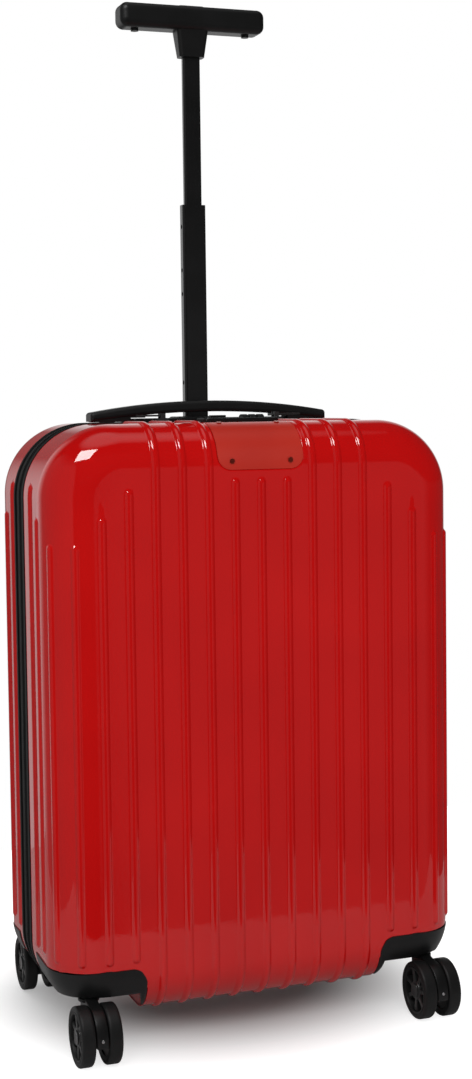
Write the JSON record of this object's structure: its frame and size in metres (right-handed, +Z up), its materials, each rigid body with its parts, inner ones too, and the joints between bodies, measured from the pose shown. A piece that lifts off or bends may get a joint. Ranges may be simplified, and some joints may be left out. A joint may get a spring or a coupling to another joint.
{
  "type": "hard shell suitcase on wheels",
  "caption": "Ribbed hard shell cabin suitcase with a zipped lid on a side hinge, twin-wheel swivel casters, a telescopic single-pole T handle, a carry handle and a dial lock.",
  "frame": {"origin": "on the floor under the middle of the case, at the middle of its bounding box's bottom face", "axes": "+Z up; the lid faces -Y and the telescopic handle is on the +Y side; +X is to the right when the lid is looked at"},
  "size_m": [0.374, 0.254, 0.9105],
  "materials": {
    "red_shell": "high gloss",
    "plate": "satin",
    "steel": "brushed",
    "lining": "woven",
    "zip_cloth": "woven tape",
    "zip_metal": "satin black",
    "black_tube": "black anodised",
    "wheel_rubber": "matt",
    "soft_black": "matt",
    "black_plastic": "satin"
  },
  "bodies": {
    "rear_case": {"rear_shell": "red_shell", "lining_rear": "lining", "zip_tape_rear": "zip_cloth", "guard_rear_left": "black_plastic", "guard_rear_right": "black_plastic", "guard_screws_rear": "steel", "handle_base": "black_plastic", "handle_sockets": "black_plastic", "handle_bezel": "black_plastic", "guide_tube": "black_tube", "guide_foot": "black_plastic"},
    "lid": {"front_shell": "red_shell", "lining_front": "lining", "zip_tape_front": "zip_cloth", "name_plate": "plate", "plate_rivets": "steel", "guard_front_left": "black_plastic", "guard_front_right": "black_plastic", "guard_screws_front": "steel", "lock_housing": "black_plastic", "dial_shaft": "steel"},
    "middle_stage": {"middle_tube": "black_tube", "middle_collar": "black_plastic", "middle_bush": "black_plastic"},
    "upper_stage": {"upper_tube": "black_tube", "upper_plug": "black_plastic", "t_grip": "black_plastic", "t_studs": "soft_black"},
    "release_button": {"t_button": "black_plastic", "release_rod": "steel"},
    "carry_handle": {"carry_grip": "soft_black", "grip_strip": "steel"},
    "lock_release": {"lock_button": "black_plastic"},
    "dial_1": {"lock_dial_1": "black_plastic"},
    "dial_2": {"lock_dial_2": "black_plastic"},
    "dial_3": {"lock_dial_3": "black_plastic"},
    "slider_left": {"zip_slider_left": "zip_metal"},
    "pull_left": {"zip_pull_left": "zip_metal"},
    "slider_right": {"zip_slider_right": "zip_metal"},
    "pull_right": {"zip_pull_right": "zip_metal"},
    "caster_front_left": {"caster_fork_front_left": "black_plastic", "swivel_pin_front_left": "steel", "axle_front_left": "steel"},
    "wheel_front_left_outer": {"wheel_front_left_outer": "wheel_rubber"},
    "wheel_front_left_inner": {"wheel_front_left_inner": "wheel_rubber"},
    "caster_front_right": {"caster_fork_front_right": "black_plastic", "swivel_pin_front_right": "steel", "axle_front_right": "steel"},
    "wheel_front_right_outer": {"wheel_front_right_outer": "wheel_rubber"},
    "wheel_front_right_inner": {"wheel_front_right_inner": "wheel_rubber"},
    "caster_rear_left": {"caster_fork_rear_left": "black_plastic", "swivel_pin_rear_left": "steel", "axle_rear_left": "steel"},
    "wheel_rear_left_outer": {"wheel_rear_left_outer": "wheel_rubber"},
    "wheel_rear_left_inner": {"wheel_rear_left_inner": "wheel_rubber"},
    "caster_rear_right": {"caster_fork_rear_right": "black_plastic", "swivel_pin_rear_right": "steel", "axle_rear_right": "steel"},
    "wheel_rear_right_outer": {"wheel_rear_right_outer": "wheel_rubber"},
    "wheel_rear_right_inner": {"wheel_rear_right_inner": "wheel_rubber"}
  },
  "joints": [
    {"name": "lid_hinge", "type": "hinge", "parent": "rear_case", "child": "lid", "pos_m": [0.189, 0.008, 0.28], "axis": [0, 0, 1], "range_deg": [0, 180]},
    {"name": "middle_slide", "type": "slide", "parent": "rear_case", "child": "middle_stage", "axis": [0, 0, 1], "range_m": [-0.222, 0.06]},
    {"name": "upper_slide", "type": "slide", "parent": "middle_stage", "child": "upper_stage", "axis": [0, 0, 1], "range_m": [-0.1305, 0.07]},
    {"name": "button_press", "type": "slide", "parent": "upper_stage", "child": "release_button", "axis": [0, 0, -1], "range_m": [0, 0.003], "stiffness_N_per_m": 1200},
    {"name": "handle_lift", "type": "slide", "parent": "rear_case", "child": "carry_handle", "axis": [0, 0, 1], "range_m": [0, 0.016], "stiffness_N_per_m": 400},
    {"name": "lock_release_slide", "type": "slide", "parent": "lid", "child": "lock_release", "axis": [-1, 0, 0], "range_m": [0, 0.004], "stiffness_N_per_m": 300},
    {"name": "dial_1_turn", "type": "hinge", "parent": "lid", "child": "dial_1", "pos_m": [0.0105, -0.027, 0.5295], "axis": [1, 0, 0], "continuous": true},
    {"name": "dial_2_turn", "type": "hinge", "parent": "lid", "child": "dial_2", "pos_m": [0.018, -0.027, 0.5295], "axis": [1, 0, 0], "continuous": true},
    {"name": "dial_3_turn", "type": "hinge", "parent": "lid", "child": "dial_3", "pos_m": [0.0255, -0.027, 0.5295], "axis": [1, 0, 0], "continuous": true},
    {"name": "slider_left_run", "type": "slide", "parent": "rear_case", "child": "slider_left", "axis": [-1, 0, 0], "range_m": [0, 0.06]},
    {"name": "pull_left_turn", "type": "hinge", "parent": "slider_left", "child": "pull_left", "pos_m": [-0.054, 0.008, 0.53505], "axis": [0, 1, 0], "range_deg": [0, 160]},
    {"name": "slider_right_run", "type": "slide", "parent": "rear_case", "child": "slider_right", "axis": [1, 0, 0], "range_m": [0, 0.06]},
    {"name": "pull_right_turn", "type": "hinge", "parent": "slider_right", "child": "pull_right", "pos_m": [0.054, 0.008, 0.53505], "axis": [0, -1, 0], "range_deg": [0, 160]},
    {"name": "swivel_front_left", "type": "hinge", "parent": "lid", "child": "caster_front_left", "pos_m": [-0.154, -0.081, 0.055], "axis": [0, 0, 1], "continuous": true},
    {"name": "spin_front_left_outer", "type": "hinge", "parent": "caster_front_left", "child": "wheel_front_left_outer", "pos_m": [-0.1655, -0.102, 0.025], "axis": [1, 0, 0], "continuous": true},
    {"name": "spin_front_left_inner", "type": "hinge", "parent": "caster_front_left", "child": "wheel_front_left_inner", "pos_m": [-0.1425, -0.102, 0.025], "axis": [1, 0, 0], "continuous": true},
    {"name": "swivel_front_right", "type": "hinge", "parent": "lid", "child": "caster_front_right", "pos_m": [0.154, -0.081, 0.055], "axis": [0, 0, 1], "continuous": true},
    {"name": "spin_front_right_outer", "type": "hinge", "parent": "caster_front_right", "child": "wheel_front_right_outer", "pos_m": [0.1655, -0.102, 0.025], "axis": [1, 0, 0], "continuous": true},
    {"name": "spin_front_right_inner", "type": "hinge", "parent": "caster_front_right", "child": "wheel_front_right_inner", "pos_m": [0.1425, -0.102, 0.025], "axis": [1, 0, 0], "continuous": true},
    {"name": "swivel_rear_left", "type": "hinge", "parent": "rear_case", "child": "caster_rear_left", "pos_m": [-0.154, 0.081, 0.055], "axis": [0, 0, 1], "continuous": true},
    {"name": "spin_rear_left_outer", "type": "hinge", "parent": "caster_rear_left", "child": "wheel_rear_left_outer", "pos_m": [-0.1655, 0.102, 0.025], "axis": [1, 0, 0], "continuous": true},
    {"name": "spin_rear_left_inner", "type": "hinge", "parent": "caster_rear_left", "child": "wheel_rear_left_inner", "pos_m": [-0.1425, 0.102, 0.025], "axis": [1, 0, 0], "continuous": true},
    {"name": "swivel_rear_right", "type": "hinge", "parent": "rear_case", "child": "caster_rear_right", "pos_m": [0.154, 0.081, 0.055], "axis": [0, 0, 1], "continuous": true},
    {"name": "spin_rear_right_outer", "type": "hinge", "parent": "caster_rear_right", "child": "wheel_rear_right_outer", "pos_m": [0.1655, 0.102, 0.025], "axis": [1, 0, 0], "continuous": true},
    {"name": "spin_rear_right_inner", "type": "hinge", "parent": "caster_rear_right", "child": "wheel_rear_right_inner", "pos_m": [0.1425, 0.102, 0.025], "axis": [1, 0, 0], "continuous": true}
  ]
}
